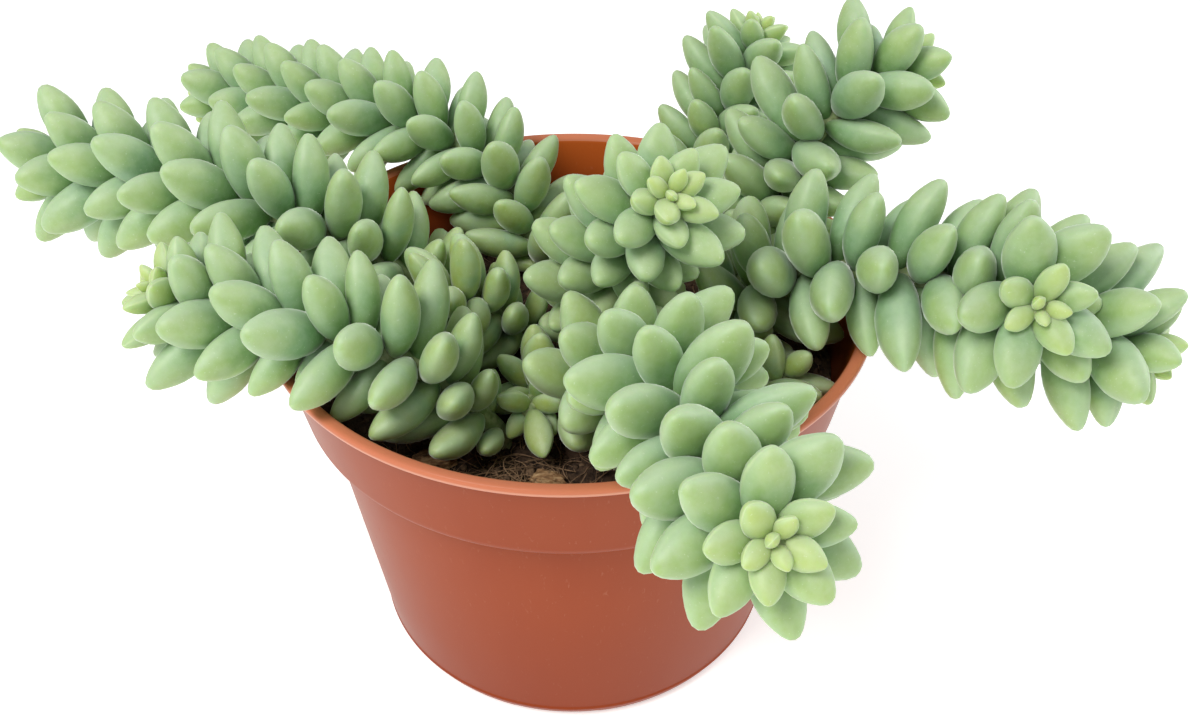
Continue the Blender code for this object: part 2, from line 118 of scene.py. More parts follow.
class Finish:
    """A material being made. Nodes come from add(), and what is the same all over is set on the shader."""

    def __init__(self, name, **constants):
        self.material = bpy.data.materials.new(name)
        self.material.use_nodes = True
        self.tree = self.material.node_tree
        self.shader = self.tree.nodes["Principled BSDF"]
        self.wear(**constants)

    def feed(self, socket, value):
        """Links a level to the socket, or sets a number or a colour on it."""
        if isinstance(value, Level):
            self.tree.links.new(value.socket, socket)
        elif isinstance(value, tuple) and socket.type == "RGBA":
            socket.default_value = (*value, 1.0)
        else:
            socket.default_value = value

    def wear(self, **values):
        """Feeds the shader's own sockets, named as base_color is for Base Color."""
        for name, value in values.items():
            self.feed(self.shader.inputs[name.replace("_", " ").title().replace("Ior", "IOR")], value)

    def add(self, kind, settings=None, sockets=None, out=0):
        """A new node with its settings and then its sockets, as the level of one of its outputs."""
        node = self.tree.nodes.new("ShaderNode" + kind)
        for name, value in (settings or {}).items():
            if name == "stops":
                held = node.color_ramp.elements
                for n, (at, colour) in enumerate(value):
                    stop = held[n] if n < 2 else held.new(at)
                    stop.position, stop.color = at, (*colour, 1.0)
            else:
                setattr(node, name, value)
        for name, value in (sockets or {}).items():
            self.feed(node.inputs[name], value)
        return Level(self, node.outputs[out])

    def sum(self, operation, first, second):
        return self.add("Math", {"operation": operation}, {0: first, 1: second})

    def band(self, value, low, high):
        """0 below low, 1 above high, and smooth between them."""
        return self.add(
            "MapRange", {"interpolation_type": "SMOOTHSTEP"},
            {"Value": value, "From Min": low, "From Max": high},
        )

    def blend(self, share, first, second):
        """A colour between the first, at share 0, and the second, at share 1."""
        return self.add("Mix", {"data_type": "RGBA"}, {0: share, 6: first, 7: second}, 2)

    def mark(self, name):
        """What the mesh holds for each point under this name."""
        return self.add("Attribute", {"attribute_name": name}, {}, "Fac")

    def place(self, stretch=(1, 1, 1)):
        at = self.add("TexCoord", out="Object")
        if stretch == (1, 1, 1):
            return at
        return self.add("Mapping", {}, {"Vector": at, "Scale": Vector(stretch)})

    def grain(self, size, detail=2.0, rough=0.5, stretch=(1, 1, 1)):
        """Soft random marks about this size, around 0.5."""
        sockets = {"Vector": self.place(stretch), "Scale": 1 / size, "Detail": detail, "Roughness": rough}
        return self.add("TexNoise", {}, sockets)

    def height(self):
        return self.add("SeparateXYZ", {}, {0: self.place()}, 2)

    def relief(self, height, depth, strength=1.0, under=None):
        sockets = {"Height": height, "Distance": depth, "Strength": strength}
        if under:
            sockets["Normal"] = under
        return self.add("Bump", {}, sockets)


card = Finish("white_card", roughness=0.9, specular_ior_level=0.1)
mottle = card.grain(90 * MM)
card.wear(
    base_color=card.blend(mottle, (0.90, 0.905, 0.91), (0.93, 0.93, 0.93)),
    emission_color=(1.0, 1.0, 1.0), emission_strength=0.45,
)
bm = bmesh.new()
bmesh.ops.create_circle(bm, cap_ends=True, segments=64, radius=CARD_RADIUS)
bmesh.ops.recalc_face_normals(bm, faces=bm.faces)
sweep = bpy.data.meshes.new("floor")
bm.to_mesh(sweep)
bm.free()
floor = bpy.data.objects.new("floor", sweep)
bpy.context.scene.collection.objects.link(floor)
sweep.materials.append(card.material)

# ---------------------------------------------------------------- pot
# A thin nursery pot, injection-moulded in terracotta-coloured polypropylene. Its tapered wall steps out to a
# collar with a rolled lip. Four notches in the foot ring let water out from the drain holes above them.

POT_HEIGHT = 73.0 * MM
RIM_RADIUS = 52.5 * MM
COLLAR_FOOT = 48.2 * MM
STEP_HEIGHT = 55.0 * MM
WALL_TOP = 45.0 * MM
WALL_FOOT = 38.7 * MM
FOOT_RISE = 1.0 * MM
FOOT_INNER = 32.0 * MM
NOTCHES, NOTCH_TURN = 4, math.radians(-96)
NOTCH_DEPTH, NOTCH_WIDTH = 10 * MM, 16 * MM
DRAIN_RADIUS, DRAIN_REACH = 2.6 * MM, 28 * MM
POT_STEPS = 180

# The outline, from the axis under the floor, up the outside, over the lip and down the inside to the floor:
# radius, height and fillet in mm
OUTLINE = [
    (0, 0, 0), (0.8, 0, 0), (23, 0, 0.5), (24, 1, 0.5), (32, 1, 0.5), (33, 0, 0.5), (37.6, 0, 0.9),
    (38.55, 2.2, 0.5), (38.80, 2.45, 0.25), (38.85, 2.95, 0.3), (38.72, 3.3, 0.3),
    (45.0, 54.0, 0.6), (45.6, 54.6, 0.5), (47.6, 54.7, 0.5), (48.2, 55.6, 0.8),
    (50.9, 71.0, 0.4), (52.1, 71.3, 0.5), (52.5, 71.9, 0.7), (52.45, 72.8, 0.45), (51.9, 73.0, 0.4),
    (50.7, 72.8, 0.5), (50.2, 72.2, 0.5), (46.95, 56.3, 0.6), (46.4, 55.9, 0.4), (43.9, 55.8, 0.6),
    (37.4, 3.6, 0.8), (36.6, 2.6, 0.8), (0, 2.6, 0),
]


def eased(corners, steps=4):
    """The outline through corners of (radius, height, fillet) in mm, each corner rounded by its fillet."""
    line = []
    for n, (radius, height, fillet) in enumerate(corners):
        corner = Vector((radius, height))
        if fillet == 0:
            line.append(corner)
            continue
        before = Vector(corners[n - 1][:2]) - corner
        after = Vector(corners[n + 1][:2]) - corner
        start = corner + before.normalized() * min(fillet, 0.45 * before.length)
        end = corner + after.normalized() * min(fillet, 0.45 * after.length)
        for step in range(steps + 1):
            t = step / steps
            line.append(start * (1 - t) ** 2 + corner * 2 * t * (1 - t) + end * t**2)
    return line


def spun(line, steps):
    """A bmesh of the closed body that an outline in mm sweeps round +Z. Its ends lie on the axis."""
    bm = bmesh.new()
    points = [bm.verts.new((radius * MM, 0, height * MM)) for radius, height in line]
    edges = [bm.edges.new(pair) for pair in zip(points, points[1:])]
    bmesh.ops.spin(
        bm, geom=points + edges, cent=(0, 0, 0), axis=(0, 0, 1), angle=math.tau, steps=steps, use_merge=True
    )
    bmesh.ops.remove_doubles(bm, verts=bm.verts, dist=1e-6)
    bmesh.ops.recalc_face_normals(bm, faces=bm.faces)
    return bm


def piece(name, bm, finish, nodes, sharp=None):
    """Makes the bmesh an object of the part, in place of its CAD nodes."""
    mesh = bpy.data.meshes.new(name)
    bm.to_mesh(mesh)
    bm.free()
    made = bpy.data.objects.new(name, mesh)
    bpy.context.scene.collection.objects.link(made)
    mesh.materials.append(finish.material)
    mesh.shade_smooth()
    if sharp:
        mesh.set_sharp_from_angle(angle=math.radians(sharp))
    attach(made, "root")
    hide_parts(*nodes)
    return made


def cut(target, helpers):
    """Cuts the helpers out of the target, and removes them."""
    group = bpy.data.collections.new("helpers")
    bpy.context.scene.collection.children.link(group)
    for helper in helpers:
        group.objects.link(helper)
    modifier = target.modifiers.new("cut", "BOOLEAN")
    modifier.operation, modifier.operand_type, modifier.collection = "DIFFERENCE", "COLLECTION", group
    bpy.context.view_layer.update()
    whole = bpy.data.meshes.new_from_object(target.evaluated_get(bpy.context.evaluated_depsgraph_get()))
    target.modifiers.clear()
    target.data = whole
    for helper in helpers:
        bpy.data.objects.remove(helper)
    bpy.data.collections.remove(group)


plastic = Finish("terracotta_plastic", ior=1.49, specular_ior_level=0.13)
haze = plastic.grain(22 * MM, 3.0)
flow = plastic.grain(5 * MM, 3.0, 0.6, (1.0, 1.0, 0.12))
scuff = plastic.band(plastic.grain(0.9 * MM, 4.0, 0.7, (1.0, 1.0, 0.35)), 0.60, 0.74)
rise = plastic.height()
splash = plastic.band(rise + (plastic.grain(7 * MM) - 0.5) * (9 * MM), 63 * MM, 57 * MM)
body = plastic.blend(haze, (0.285, 0.042, 0.006), (0.330, 0.055, 0.010))
body = plastic.blend(flow * 0.30, body, (0.37, 0.075, 0.020))
body = plastic.blend(scuff * 0.16, body, (0.66, 0.36, 0.24))
inside = plastic.sum("LESS_THAN", plastic.mark("outside"), 0.5)
body = plastic.blend(inside * splash * 0.55, body, (0.060, 0.028, 0.016))
lip = plastic.mark("lip")
# Painted shade: the wall is darker towards the bottom.
body = plastic.blend((1 - plastic.band(rise, 0.0, 42 * MM)) * 0.45, body, (0.235, 0.030, 0.003))
# Painted light on the lip: its inner face a brighter orange for the glow of light through the thin plastic,
# and its outer face and top a pale pink for its sheen.
body = plastic.blend(lip * 0.8, body, (0.56, 0.115, 0.018))
body = plastic.blend(lip * (1 - inside) * 0.8, body, (0.62, 0.215, 0.120))
# Painted highlight: a pale line round the outer corner of the lip.
painted_lip_highlight = plastic.band(rise, 71.55 * MM, 71.85 * MM) * (1 - plastic.band(rise, 72.05 * MM, 72.35 * MM))
body = plastic.blend(painted_lip_highlight * (1 - inside) * 0.6, body, (0.74, 0.38, 0.27))
plastic.wear(
    base_color=body,
    roughness=0.30 + haze * 0.10 + scuff * 0.15 + inside * 0.12 - lip * 0.05,
    normal=plastic.relief(
        plastic.grain(0.35 * MM, 2.0), 0.012 * MM, 0.35,
        plastic.relief(plastic.grain(14 * MM, 1.0, 0.4, (1, 1, 0.5)), 0.35 * MM, 0.35),
    ),
)

bm = spun(eased(OUTLINE), POT_STEPS)
pot = piece("pot_shell", bm, plastic, ["pot"])
cutters = []
for n in range(NOTCHES):
    turn = Matrix.Rotation(NOTCH_TURN + n * math.tau / NOTCHES, 4, "Z")
    notch = bmesh.new()
    size = Matrix.Diagonal((NOTCH_DEPTH, NOTCH_WIDTH, 2 * FOOT_RISE, 1))
    bmesh.ops.create_cube(notch, size=1, matrix=size)
    rounded = {"segments": 3, "affect": "EDGES", "profile": 0.5, "material": -1}
    bmesh.ops.bevel(notch, geom=notch.edges[:], offset=0.4 * MM, **rounded)
    bmesh.ops.translate(notch, vec=(FOOT_INNER + NOTCH_DEPTH / 2, 0, 0), verts=notch.verts)
    bmesh.ops.transform(notch, matrix=turn, verts=notch.verts)
    drain = bmesh.new()
    width = {"radius1": DRAIN_RADIUS, "radius2": DRAIN_RADIUS}
    bmesh.ops.create_cone(drain, cap_ends=True, segments=32, depth=12 * MM, **width)
    bmesh.ops.transform(drain, matrix=turn @ Matrix.Translation((DRAIN_REACH, 0, 0)), verts=drain.verts)
    for name, shape in (("notch", notch), ("drain", drain)):
        mesh = bpy.data.meshes.new(name)
        shape.to_mesh(mesh)
        shape.free()
        cutters.append(bpy.data.objects.new(name, mesh))
cut(pot, cutters)
pot.data.shade_smooth()
pot.data.set_sharp_from_angle(angle=math.radians(38))

UNDERSIDE, LIP_FOOT, LIP_CREST = 1.5 * MM, 71.6 * MM, 72.3 * MM
COLLAR_SLOPE = 0.178

# The finish tells the outside from the inside, and the lip from the wall, by a mark on each point
outside = pot.data.attributes.new("outside", "FLOAT", "POINT")
rolled = pot.data.attributes.new("lip", "FLOAT", "POINT")
for vertex, shown, edge in zip(pot.data.vertices, outside.data, rolled.data):
    radius, height = math.hypot(vertex.co.x, vertex.co.y), vertex.co.z
    middle = WALL_FOOT - 0.7 * MM + (WALL_TOP - WALL_FOOT) * min(height / STEP_HEIGHT, 1)
    if height > STEP_HEIGHT + 0.6 * MM:
        middle = COLLAR_FOOT - 0.6 * MM + (height - STEP_HEIGHT) * COLLAR_SLOPE
    shown.value = 1.0 if radius > middle or height < UNDERSIDE or height > LIP_CREST else 0.0
    edge.value = 1.0 if height > LIP_FOOT else 0.0

# ---------------------------------------------------------------- soil
# Dark peat compost, filled to just above the pot's step and settled unevenly: matted crumbs, loose bits on
# top, and pale root fibres and coir that stick out of it.

SOIL_HEIGHT = 56.6 * MM
SOIL_EDGE = 46.8 * MM
SOIL_RINGS, SOIL_STEPS = 84, 240
CRUMBS, CRUMB_REACH = 1500, 45.5 * MM
FIBRES, FIBRE_REACH, JOINTS = 260, 45 * MM, 8
COIR, COIR_MIDDLE, COIR_SPREAD = 190, (-9 * MM, -34 * MM), (6.5 * MM, 2.6 * MM)
COIR_REACH, INNER_WALL = 44 * MM, 45.6 * MM
TINY = 1e-12
rng = np.random.default_rng(11)


def soil_top(x, y):
    """Height of the soil's surface, bumps and crumbs included."""
    slow = math.sin(310 * x + 1.1) * math.cos(270 * y) + 0.7 * math.sin(520 * x - 430 * y + 0.6)
    at = Vector((x, y, 0))
    lumps = noise.noise(at * 190) * 0.9 + noise.noise(at * 420 + Vector((3, 1, 7))) * 0.7
    crumbs = noise.voronoi(at * 800)[0][0] * -0.7 + noise.noise(at * 1700) * 0.22
    return SOIL_HEIGHT + (0.42 * slow + lumps + crumbs + 0.2) * MM


peat = Finish("peat", roughness=0.95, specular_ior_level=0.25)
clods = peat.grain(2.4 * MM, 4.0, 0.65)
grit = peat.grain(0.5 * MM, 3.0, 0.7)
strands = peat.band(peat.grain(1.1 * MM, 2.0, 0.5, (1, 0.16, 1)), 0.62, 0.70)
across = peat.band(peat.grain(1.2 * MM, 2.0, 0.5, (0.15, 1, 1)), 0.63, 0.71)
tone = peat.mark("tone")
earth = peat.blend(peat.band(clods, 0.35, 0.68), (0.018, 0.011, 0.008), (0.085, 0.049, 0.029))
earth = peat.blend(peat.band(grit, 0.5, 0.72) * 0.6, earth, (0.115, 0.066, 0.038))
earth = peat.blend((strands + across) * 0.5, earth, (0.20, 0.125, 0.070))
earth = peat.blend(tone, earth, (0.30, 0.185, 0.105))
rough_top = peat.relief(clods + grit * 0.5, 0.5 * MM, 0.8)
peat.wear(base_color=earth, roughness=0.98 - grit * 0.15, normal=rough_top)

# The bed's outline in mm: its foot, its side, and its top in many rings, which then settle
line = [(0, 3.0), (37.0, 3.0), (43.2, 55.2), (46.8, 55.9)]
line += [(46.8 * (1 - ring / SOIL_RINGS), 56.6) for ring in range(SOIL_RINGS + 1)]
bm = spun([Vector(point) for point in line], SOIL_STEPS)
for vertex in bm.verts:
    if vertex.co.z > 56.5 * MM:
        reach = math.hypot(vertex.co.x, vertex.co.y)
        settled = 1 if reach < SOIL_EDGE - MM else 0.25
        vertex.co.z += (soil_top(vertex.co.x, vertex.co.y) - SOIL_HEIGHT) * settled


def scattered(count, reach):
    """Random places on the soil, out to this far from the pot's axis."""
    for _ in range(count):
        out, turn = reach * math.sqrt(rng.random()), rng.uniform(0, math.tau)
        x, y = out * math.cos(turn), out * math.sin(turn)
        yield np.array((x, y, soil_top(x, y)))


def copies_of(target, shape, count):
    """Adds this many copies of a shape's bmesh to the target, and gives the shape's own points."""
    mesh = bpy.data.meshes.new("shape")
    shape.to_mesh(mesh)
    shape.free()
    for _ in range(count):
        target.from_mesh(mesh)
    return np.array([vertex.co for vertex in mesh.vertices])


def drawn_out(bm, end):
    """Extrudes the end face of a tube and gives the new end."""
    grown_on = bmesh.ops.extrude_face_region(bm, geom=[end, *end.edges])["geom"]
    return next(one for one in grown_on if isinstance(one, bmesh.types.BMFace))


whole = bmesh.new()
places = [copies_of(whole, bm, 1)]
crumb = bmesh.new()
bmesh.ops.create_icosphere(crumb, subdivisions=1, radius=1)
crumb = copies_of(whole, crumb, CRUMBS)
for spot in scattered(CRUMBS, CRUMB_REACH):
    half = rng.lognormal(-0.75, 0.42) * MM
    squash = np.diag((rng.uniform(0.6, 1.5), rng.uniform(0.6, 1.1), rng.uniform(0.4, 0.8))) * half
    turn = Matrix.Rotation(rng.uniform(0, math.tau), 3, "Z") @ Matrix.Rotation(rng.normal(0, 0.5), 3, "X")
    knobbly = crumb * (1 + rng.normal(0, 0.14, (len(crumb), 1)))
    places.append(spot + knobbly @ squash @ np.array(turn.transposed()))
fibre = bmesh.new()
end = bmesh.ops.create_circle(fibre, cap_ends=True, segments=4, radius=1)["verts"][0].link_faces[0]
for _ in range(JOINTS):
    end = drawn_out(fibre, end)
    bmesh.ops.translate(fibre, vec=(0, 0, 1), verts=end.verts)
bmesh.ops.recalc_face_normals(fibre, faces=fibre.faces)
fibre = copies_of(whole, fibre, FIBRES + COIR)
joint_of = np.rint(fibre[:, 2]).astype(int)

# Loose coir lies thickest at the front, and fibres everywhere. Each runs in a slack bend over the crumbs.
coir = rng.normal(COIR_MIDDLE, COIR_SPREAD, (COIR, 2))
coir *= np.minimum(1, COIR_REACH / np.hypot(*coir.T))[:, None]
coir = [np.array((x, y, soil_top(x, y) + abs(rng.normal(0, 0.8)) * MM)) for x, y in coir]
for spot in [*scattered(FIBRES, FIBRE_REACH), *coir]:
    thick = rng.uniform(0.05, 0.13) * MM
    reach, bend = rng.uniform(2.5, 9.0) * MM, rng.normal(0, 0.16)
    heading, lift = rng.uniform(0, math.tau), abs(rng.normal(0, 0.28))
    line = [spot - (0, 0, 0.25 * MM)]
    for _ in range(JOINTS):
        heading += bend
        lift -= 0.10
        way = (math.cos(heading) * math.cos(lift), math.sin(heading) * math.cos(lift), math.sin(lift))
        at = line[-1] + np.array(way) * reach / JOINTS
        at[:2] *= min(1, INNER_WALL / math.hypot(at[0], at[1]))
        at[2] = max(at[2], soil_top(at[0], at[1]) + 0.05 * MM)
        line.append(at)
    line = np.array(line)
    run = np.gradient(line, axis=0)
    across = np.cross(run, (0, 0, 1))
    across /= np.linalg.norm(across, axis=1, keepdims=True) + TINY
    over = np.cross(across, run)
    over /= np.linalg.norm(over, axis=1, keepdims=True) + TINY
    places.append(line[joint_of] + thick * (fibre[:, :1] * across[joint_of] + fibre[:, 1:2] * over[joint_of]))
soil = piece("soil_bed", whole, peat, ["soil"])
soil.data.vertices.foreach_set("co", np.vstack(places).astype(np.float32).ravel())

# The bed is dark, each crumb has its own tone, and fibres are pale
tones = np.full(len(soil.data.vertices), 0.75)
bed = len(places[0])
tones[:bed] = 0
crumb_tones = np.clip(rng.normal(0.08, 0.20, CRUMBS), 0, 0.8)
tones[bed:bed + CRUMBS * len(crumb)] = np.repeat(crumb_tones, len(crumb))
soil.data.attributes.new("tone", "FLOAT", "POINT").data.foreach_set("value", tones.astype(np.float32))
soil.data.update()

# ---------------------------------------------------------------- bark chips
# Four flakes of composted pine bark, half sunk in the peat: torn along the grain, so that their ends are
# ragged and their sides show the layers.

# Each chip: its middle and its half sides in mm, and how far it is turned
CHIPS = {
    "chip_front_left": ((-22.5, -29.0, 57.4), (3.8, 2.2, 1.8), 0.3),
    "chip_front": ((-4.0, -34.5, 57.2), (3.0, 2.1, 1.6), -0.5),
    "chip_back_left": ((-22.0, 33.0, 57.2), (2.8, 2.0, 1.5), 0.9),
    "chip_right": ((20.0, -33.0, 57.1), (2.6, 1.9, 1.4), 2.2),
}
bark = Finish("bark", roughness=0.85, specular_ior_level=0.3)
layers = bark.grain(0.7 * MM, 4.0, 0.65, (0.3, 1.0, 1.6))
dust = bark.grain(1.6 * MM, 3.0)
wood = bark.add(
    "ValToRGB",
    {"stops": ((0.30, (0.070, 0.032, 0.014)), (0.48, (0.27, 0.145, 0.065)), (0.66, (0.52, 0.34, 0.18)))},
    {"Fac": layers},
)
wood = bark.blend(bark.band(dust, 0.56, 0.70) * 0.7, wood, (0.055, 0.030, 0.018))
bark.wear(base_color=wood, normal=bark.relief(layers, 0.35 * MM, 0.9))

for seed, (name, (centre, size, turn)) in enumerate(CHIPS.items()):
    bm = bmesh.new()
    bmesh.ops.create_cube(bm, size=1.7)
    bmesh.ops.bevel(bm, geom=bm.edges[:], offset=0.35, segments=1, affect="EDGES", profile=0.5, material=-1)
    bmesh.ops.triangulate(bm, faces=[face for face in bm.faces if len(face.verts) > 4])
    bmesh.ops.subdivide_edges(bm, edges=bm.edges[:], cuts=5, use_grid_fill=True)
    for vertex in bm.verts:
        ball = vertex.co.copy()
        torn = noise.noise(Vector((ball.x * 0.8, ball.y * 3.2, ball.z * 4.5 + seed * 5.3)))
        rough = noise.noise(ball * 2.1 + Vector((seed * 3.7, 1.9, 0)))
        ball.x *= 1 + 0.30 * torn
        ball.y *= 1 + 0.10 * torn + 0.16 * rough
        ball.z *= 1 + 0.26 * torn + 0.22 * rough
        vertex.co = Vector(ball[axis] * size[axis] * MM for axis in range(3))
    place = Matrix.Translation(Vector(centre) * MM) @ Matrix.Rotation(turn, 4, "Z")
    bmesh.ops.transform(bm, matrix=place, verts=bm.verts)
    bmesh.ops.recalc_face_normals(bm, faces=bm.faces)
    piece(name.replace("chip", "bark_chip"), bm, bark, [name], 40)

# ---------------------------------------------------------------- where the leaves grow
# Twelve leafy stems root in the soil and arch out over the lip. Their leaves stand round each stem in a
# golden-angle spiral, from a bud of tiny leaves at the tip down to the soil, and press against each other.

GOLDEN_ANGLE = math.radians(137.508)
CORE_RADIUS = 2.1 * MM
ROUTE_STEP = 0.5 * MM
BARE = 1 * MM  # of the stem above the soil
ROOT_SINK = 1.0 * MM  # of a leaf's root into the core

LEAF_STEP = 1.08 * MM  # along the stem, from one grown leaf to the next
BUD_STEP = 0.28 * MM
USUAL_LEAF = 13.6  # the length in mm that the step is for
LOW_STRETCH, LOW_SPARSE = 25 * MM, 0.4  # leaves stand further apart near the soil
YOUNG_LEAVES, SHOOT_LEAVES = 17, 11  # from the bud to the first grown leaf, on a stem and on a side shoot
OLD_TIP = 10  # leaves that the tip of an inner stem has lost
OLD_REACH = 34 * MM  # from the soil, where leaves are old

BUD_LEAN, GROWN_LEAN = math.radians(8), math.radians(58)  # from the stem's own direction
OLD_LEAN, OLD_AFTER = math.radians(15), 38 * MM
LEAN_GROWTH, STEP_GROWTH, SHOOT_GROWTH = 0.42, 1.3, 1.3
UPTURN = 0.16
BUD_SIZE = 0.17  # of a grown leaf
HALF_WIDTH = 0.25  # of the leaf's length
TURN_SPREAD, LEAN_SPREAD, SIZE_SPREAD = 0.10, 0.09, 0.055

# Each stem: its route in mm from its root to its tip, a side branch where it has one, the grown leaf's
# length in mm, which way its spiral winds, and where the spiral starts
STEMS = {
    "stem_left": ([[(-22, 9, 58), (-29, 7, 68), (-38, 8, 75), (-47, 9, 79), (-57, 13, 81), (-70, 19, 81.5),
                    (-86, 27, 80), (-99.2, 33.8, 77.3)]], 14.4, 1, 0.4),
    "stem_back_left": ([[(-4, 20, 58), (-8, 26, 67), (-13, 32, 74), (-22, 37, 79), (-33, 43, 80.5),
                         (-48, 53, 78), (-64, 65, 74), (-78, 75, 71)]], 13.0, -1, 1.3),
    "stem_front_left": ([[(-12, -24, 58), (-17, -25, 66), (-24, -26, 74.5), (-35, -24.5, 79), (-47, -20, 79),
                          (-56, -18, 79.5), (-62, -17.5, 82), (-65, -17.5, 85)]], 13.6, 1, 2.2),
    "stem_centre": ([[(3, 4, 58), (4, 0, 66), (6, -5, 76), (9, -11, 86), (12, -18, 96), (15, -24, 104)]],
                    13.0, -1, 0.9),
    "stem_front": ([[(0, -22, 58), (3, -24, 66), (8, -30, 76), (13, -41, 83), (16, -54, 86), (19, -64, 87),
                     (21, -72.5, 88), (22.5, -81, 92.5)]], 14.4, 1, 0.2),
    "stem_right": ([[(25, -3, 58), (29, -3, 66), (34, -6, 75), (43, -11, 81), (55, -17, 83.5), (67, -22, 83),
                     (81, -25, 78.5), (91, -27.5, 75)], [(64, -21, 83), (67, -27, 87), (67, -36, 91)]],
                   15.0, -1, 1.9),
    "stem_back_right": ([[(31, 17, 58), (35, 18, 68), (40, 20, 81), (45, 18, 92), (53, 21, 99),
                          (62.5, 24, 100)]], 13.8, 1, 2.9),
    "stem_back": ([[(21, 31, 58), (24, 33, 68), (29, 39, 78), (34, 43.5, 88.5), (38, 48, 98)]],
                  12.4, -1, 0.1),
    "stem_inner_left": ([[(-7, 3, 58), (-10, 0, 63), (-17, -2, 69), (-24, -6, 72)]], 12.0, 1, 0.7),
    "stem_inner_front": ([[(-5, -12, 58), (-6, -18, 62), (-7, -25, 64)]], 11.5, -1, 1.1),
    "stem_inner_middle": ([[(16, -12, 58), (18, -15, 64), (20, -16, 69)]], 11.5, 1, 2.0),
    "stem_inner_right": ([[(30, -20, 58), (32, -20, 63), (36, -19, 67)]], 11.5, -1, 0.3),
}


def smooth_route(points, step):
    """Points about a step apart on a smooth curve through the route's own points, in metres."""
    route = np.array(points, float) * MM
    ends = [2 * route[0] - route[1]], [2 * route[-1] - route[-2]]
    a, b, c, d = (np.vstack([ends[0], route, ends[1]])[k:][: len(route) - 1] for k in range(4))
    t = np.linspace(0, 1, 30, endpoint=False)[:, None, None]
    curve = 2 * b + (c - a) * t + (2 * a - 5 * b + 4 * c - d) * t**2 + (3 * b - a - 3 * c + d) * t**3
    curve = np.vstack([(curve / 2).transpose(1, 0, 2).reshape(-1, 3), route[-1:]])
    along = np.r_[0, np.cumsum(np.linalg.norm(np.diff(curve, axis=0), axis=1))]
    marks = np.linspace(0, along[-1], max(2, round(along[-1] / step)) + 1)
    return np.column_stack([np.interp(marks, along, curve[:, axis]) for axis in range(3)])


def unit(vectors):
    return vectors / np.linalg.norm(vectors, axis=-1, keepdims=True)


def carried_frames(line):
    """A direction along the line at each point, and one across it that never twists about it."""
    ahead = unit(np.gradient(line, axis=0))
    side = np.zeros_like(ahead)
    side[0] = unit(np.cross(ahead[0], (0.3, 1, 0.2)))
    for n in range(1, len(line)):
        side[n] = unit(side[n - 1] - ahead[n] * (side[n - 1] @ ahead[n]))
    return ahead, side


def grow_leaves():
    """A row for each leaf: its root, the way it points, its length, its stem's number, how far it has grown
    from a bud's leaf (0) to a full one (1), the way its stem runs there, and how old it is (0 to 1)."""
    rows = []
    dice = np.random.default_rng(7)
    for number, (name, (routes, leaf, wind, start)) in enumerate(STEMS.items()):
        for branch, points in enumerate(routes):
            line = smooth_route(points, ROUTE_STEP)
            ahead, side = carried_frames(line)
            along = np.r_[0, np.cumsum(np.linalg.norm(np.diff(line, axis=0), axis=1))]
            below_tip, count = 0.0, OLD_TIP if "inner" in name else 0
            bare = CORE_RADIUS if branch else BARE
            while along[-1] - below_tip > bare:
                grown = min(1.0, count / (SHOOT_LEAVES if branch else YOUNG_LEAVES))
                at = int(np.searchsorted(along, along[-1] - below_tip).clip(0, len(line) - 1))
                angle = start + wind * count * GOLDEN_ANGLE + dice.normal(0, TURN_SPREAD)
                out = side[at] * math.cos(angle) + np.cross(ahead[at], side[at]) * math.sin(angle)
                lean = BUD_LEAN + (GROWN_LEAN - BUD_LEAN) * grown**LEAN_GROWTH + dice.normal(0, LEAN_SPREAD)
                lean += OLD_LEAN * min(1.0, below_tip / OLD_AFTER) ** 1.5
                way = unit(ahead[at] * math.cos(lean) + out * math.sin(lean))
                way = unit(way + np.array((0, 0, UPTURN * grown)))
                size = BUD_SIZE + (1 - BUD_SIZE) * grown ** (SHOOT_GROWTH if branch else 1.0)
                size *= leaf * MM * (1 + dice.normal(0, SIZE_SPREAD))
                root = line[at] - ahead[at] * ROOT_SINK
                old = 1.0 if "inner" in name else max(0.0, 1 - along[at] / OLD_REACH) * (1 - branch)
                rows.append((*root, *way, size + ROOT_SINK, number, grown, *ahead[at], old))
                sparse = 1 + LOW_SPARSE * max(0.0, 1 - (along[at] - bare) / LOW_STRETCH)
                full_step = LEAF_STEP * sparse * leaf / USUAL_LEAF
                below_tip += BUD_STEP + (full_step - BUD_STEP) * grown**STEP_GROWTH
                count += 1
    return np.array(rows)


# A leaf is four balls while it is eased clear of its neighbours: where they sit along it, and their widths
TOUCH_AT = np.array([0.16, 0.38, 0.62, 0.84])
TOUCH_WIDTH = np.array([0.58, 0.84, 1.0, 0.8])
PRESS = 0.9  # of their widths, between leaves of one stem
CLEAR = 0.45 * MM  # between stems, and from the pot
BARELY = 0.1 * MM
NEAR = 3 * MM
WALL_HALF = 1.15 * MM
RIM_MIDDLE = RIM_RADIUS - WALL_HALF
WALL_SLOPE = 0.155
CRUMB_RISE = 0.7 * MM
EASE_TURNS, LOOK_EVERY, SHRINK_FROM = 90, 10, 45
EASE, SPRING, SHRINK, SMALLEST = 0.5, 0.02, 0.985, 0.35
NO_LENGTH = 1e-9


def off_the_pot(centre, radius):
    """How far each ball has to move to clear the pot's wall, its lip and the soil."""
    reach = np.hypot(centre[:, 0], centre[:, 1]) + NO_LENGTH
    top = POT_HEIGHT - WALL_HALF
    height = np.minimum(centre[:, 2], top)
    sideways = reach - (RIM_MIDDLE - WALL_SLOPE * (top - height))
    upwards = centre[:, 2] - height
    apart = np.hypot(sideways, upwards) + NO_LENGTH
    short = np.maximum(radius + WALL_HALF + CLEAR - apart, 0) / apart
    outward = (short * sideways / reach)[:, None] * centre[:, :2]
    push = np.column_stack([outward, short * upwards])
    lowest = SOIL_HEIGHT + CRUMB_RISE + CLEAR
    push[:, 2] += np.where(reach < RIM_MIDDLE, np.maximum(lowest + radius - centre[:, 2], 0), 0)
    return push


